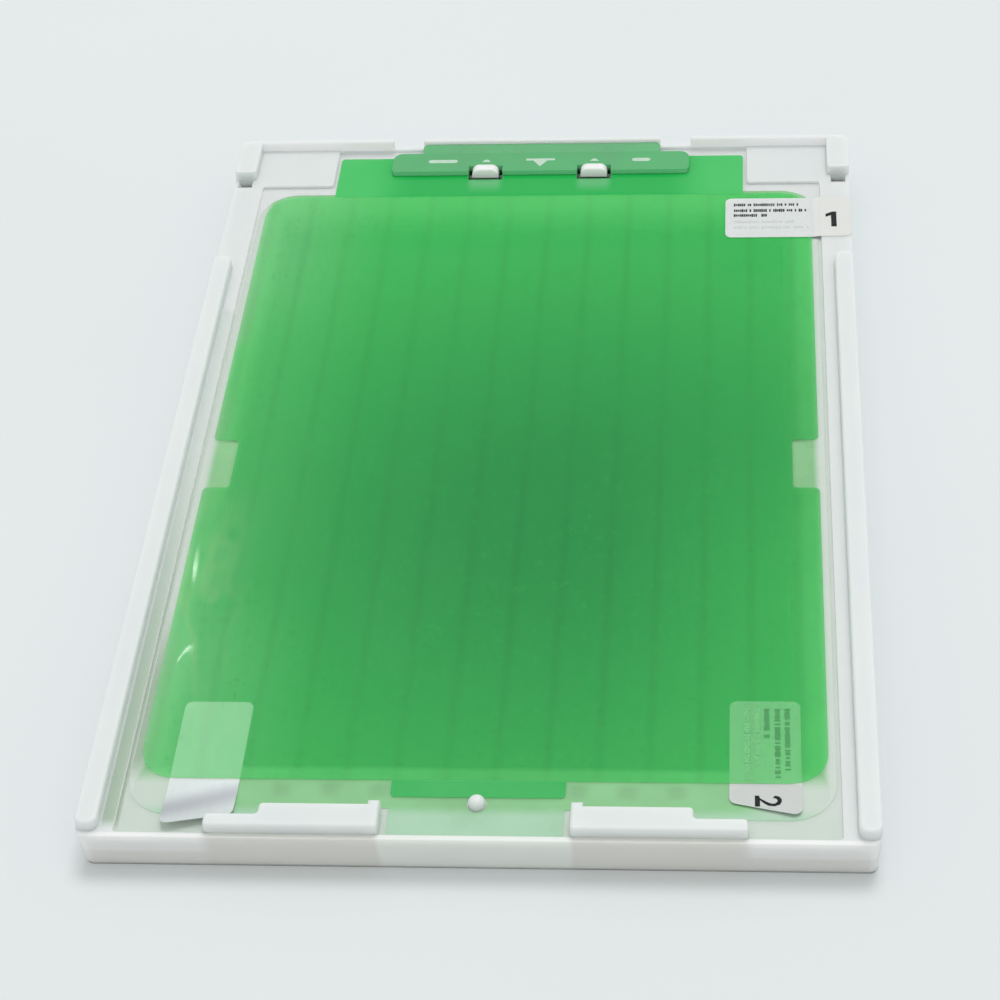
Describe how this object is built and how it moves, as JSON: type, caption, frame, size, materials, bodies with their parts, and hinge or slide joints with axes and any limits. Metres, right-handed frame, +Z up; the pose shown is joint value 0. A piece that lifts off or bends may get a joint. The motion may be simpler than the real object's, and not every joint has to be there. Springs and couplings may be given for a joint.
{
  "type": "paper-feel screen protector in its alignment tray",
  "caption": "Matte tablet screen protector between green-tinted films, hooked on the lugs and pin of a translucent white tray that seats it squarely on the screen.",
  "frame": {"origin": "middle of the tray's footprint, on the surface that it lies on", "axes": "+X across the tray to the right, +Y along it from the pin to the lugs, +Z up"},
  "size_m": [0.2, 0.2902, 0.0152],
  "materials": {
    "tray_plastic": "satin, slightly translucent white",
    "pale_film": "clear film with a pale green tint",
    "matte_film": "fine matte, clear",
    "green_film": "satin translucent green",
    "strip_film": "dull green with pale printed marks",
    "label_paper": "white with dark print",
    "silver_label": "silvery grey film"
  },
  "bodies": {
    "root": {"alignment_tray": "tray_plastic", "carrier_film": "pale_film", "paper_feel_protector": "matte_film", "release_film": "green_film", "hook_strip": "strip_film", "pull_label_1": "label_paper", "pull_label_2": "label_paper", "pull_label_blank": "silver_label"}
  },
  "joints": []
}
